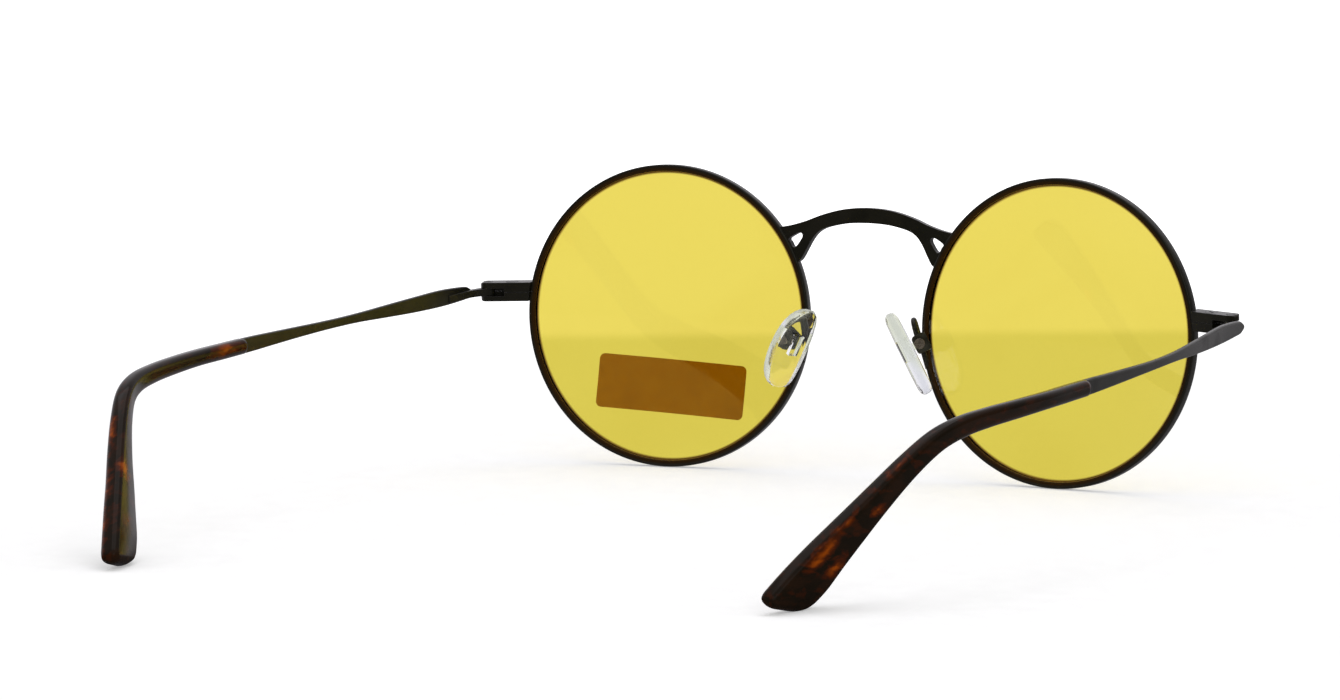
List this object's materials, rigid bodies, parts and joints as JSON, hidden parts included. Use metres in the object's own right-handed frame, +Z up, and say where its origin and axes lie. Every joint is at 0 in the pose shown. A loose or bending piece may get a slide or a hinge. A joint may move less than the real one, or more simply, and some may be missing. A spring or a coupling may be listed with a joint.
{
  "type": "round sunglasses",
  "caption": "Round wire-rim polarized sunglasses with yellow lenses, an arched bridge, rocking clear nose pads and folding temples with tortoiseshell tips.",
  "frame": {"origin": "middle of the footprint at table height, with the glasses standing on both rims and both tip ends", "axes": "+X to the wearer's left, +Y towards the temple tips, +Z up; the lenses face -Y"},
  "size_m": [0.1466, 0.1452, 0.0493],
  "materials": {
    "black_metal": "satin black coating, worn to grey on edges",
    "screw_steel": "darkened steel",
    "pad_metal": "grey satin",
    "mount_plastic": "clear",
    "core_metal": "satin",
    "yellow_lens": "clear yellow polarizing tint",
    "sticker_film": "blank brown film",
    "clear_silicone": "clear, soft gloss",
    "tortoiseshell": "dark tortoiseshell acetate, polished"
  },
  "bodies": {
    "front": {"left_rim": "black_metal", "right_rim": "black_metal", "left_endpiece_upper": "black_metal", "right_endpiece_upper": "black_metal", "left_endpiece_lower": "black_metal", "right_endpiece_lower": "black_metal", "left_rim_screw": "screw_steel", "right_rim_screw": "screw_steel", "left_hinge_screw": "screw_steel", "right_hinge_screw": "screw_steel", "left_pad_arm": "black_metal", "right_pad_arm": "black_metal", "left_pad_box": "pad_metal", "right_pad_box": "pad_metal", "left_pad_screw": "screw_steel", "right_pad_screw": "screw_steel", "left_lens": "yellow_lens", "right_lens": "yellow_lens", "bridge": "black_metal", "left_lens_sticker": "sticker_film"},
    "left_temple": {"left_hinge_leaf": "black_metal", "left_temple_blade": "black_metal", "left_core_wire": "core_metal", "left_temple_tip": "tortoiseshell"},
    "right_temple": {"right_hinge_leaf": "black_metal", "right_temple_blade": "black_metal", "right_core_wire": "core_metal", "right_temple_tip": "tortoiseshell"},
    "left_pad": {"left_pad_mount": "mount_plastic", "left_nose_pad": "clear_silicone"},
    "right_pad": {"right_pad_mount": "mount_plastic", "right_nose_pad": "clear_silicone"}
  },
  "joints": [
    {"name": "left_temple_fold", "type": "hinge", "parent": "front", "child": "left_temple", "pos_m": [0.06611, -0.06481, 0.0278], "axis": [0, 0.0668, 0.9978], "range_deg": [0, 86]},
    {"name": "right_temple_fold", "type": "hinge", "parent": "front", "child": "right_temple", "pos_m": [-0.06611, -0.06481, 0.0278], "axis": [0, -0.0668, -0.9978], "range_deg": [0, 68]},
    {"name": "left_pad_rock", "type": "hinge", "parent": "front", "child": "left_pad", "pos_m": [0.01174, -0.06597, 0.02227], "axis": [0.4408, 0.885, 0.1501], "range_deg": [-8, 8]},
    {"name": "right_pad_rock", "type": "hinge", "parent": "front", "child": "right_pad", "pos_m": [-0.01174, -0.06597, 0.02227], "axis": [0.4408, -0.885, -0.1501], "range_deg": [-8, 8]}
  ]
}
